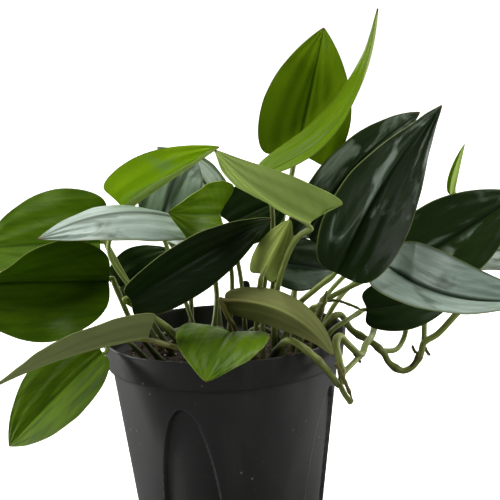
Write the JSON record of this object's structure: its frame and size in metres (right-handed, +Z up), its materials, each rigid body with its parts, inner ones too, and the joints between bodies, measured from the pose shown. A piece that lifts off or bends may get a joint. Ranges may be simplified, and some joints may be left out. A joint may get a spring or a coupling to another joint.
{
  "type": "potted satin pothos",
  "caption": "Leafy satin pothos with heart-shaped, silver-washed leaves on slender petioles and trailing vines, rooted in a round tapered black nursery pot.",
  "frame": {"origin": "centre of the pot's flat underside, on the surface that the pot stands on", "axes": "+Z up along the pot's axis; +X towards the side that the plant spreads to furthest; -Y is the front"},
  "size_m": [0.3261, 0.2164, 0.272],
  "materials": {
    "pot_plastic": "thin black moulded plastic, slightly scuffed, satin sheen",
    "potting_mix": null,
    "label_plastic": "plain black plastic",
    "leaf_mature": null,
    "leaf_satin": null,
    "leaf_fresh": "mid-green young leaf, soft satin sheen, lets light through",
    "leaf_young": "bright yellow-green new leaf, soft satin sheen, lets light through",
    "stem": null
  },
  "bodies": {
    "root": {"pot": "pot_plastic", "soil": "potting_mix", "plant_label": "label_plastic", "leaf_left_back": "leaf_fresh", "leaf_left_front": "leaf_fresh", "leaf_satin_left": "leaf_satin", "leaf_arching": "leaf_young", "leaf_curled": "leaf_young", "leaf_dark_center": "leaf_mature", "leaf_pale_back_turned": "leaf_young", "leaf_tall": "leaf_fresh", "leaf_top_back": "leaf_fresh", "leaf_dark_upper_right": "leaf_mature", "leaf_dark_front_right": "leaf_mature", "leaf_right_back": "leaf_mature", "leaf_satin_right": "leaf_satin", "leaf_right_far_back": "leaf_satin", "leaf_right_low": "leaf_mature", "leaf_low_left_back_turned": "leaf_fresh", "leaf_hanging_left": "leaf_young", "leaf_over_rim": "leaf_young", "leaf_front_back_turned": "leaf_fresh", "leaf_inner": "leaf_mature", "leaf_inner_left": "leaf_satin", "leaf_low_left_inner": "leaf_mature", "leaf_behind_petioles": "leaf_fresh", "leaf_back_left": "leaf_mature", "leaf_back": "leaf_satin", "leaf_back_right": "leaf_mature", "leaf_furled": "leaf_young", "leaf_striped": "leaf_satin", "petiole_left_back": "stem", "petiole_left_front": "stem", "petiole_satin_left": "stem", "petiole_arching": "stem", "petiole_curled": "stem", "petiole_dark_center": "stem", "petiole_pale_back_turned": "stem", "petiole_tall": "stem", "petiole_top_back": "stem", "petiole_dark_upper_right": "stem", "petiole_dark_front_right": "stem", "petiole_right_back": "stem", "petiole_satin_right": "stem", "petiole_right_low": "stem", "petiole_low_left": "stem", "petiole_hanging_left": "stem", "petiole_over_rim": "stem", "petiole_front_back_turned": "stem", "petiole_inner": "stem", "petiole_inner_left": "stem", "petiole_low_left_inner": "stem", "petiole_behind": "stem", "petiole_back_left": "stem", "petiole_back": "stem", "petiole_back_right": "stem", "petiole_furled": "stem", "petiole_striped": "stem", "vine_front_right": "stem", "vine_loop": "stem"}
  },
  "joints": []
}
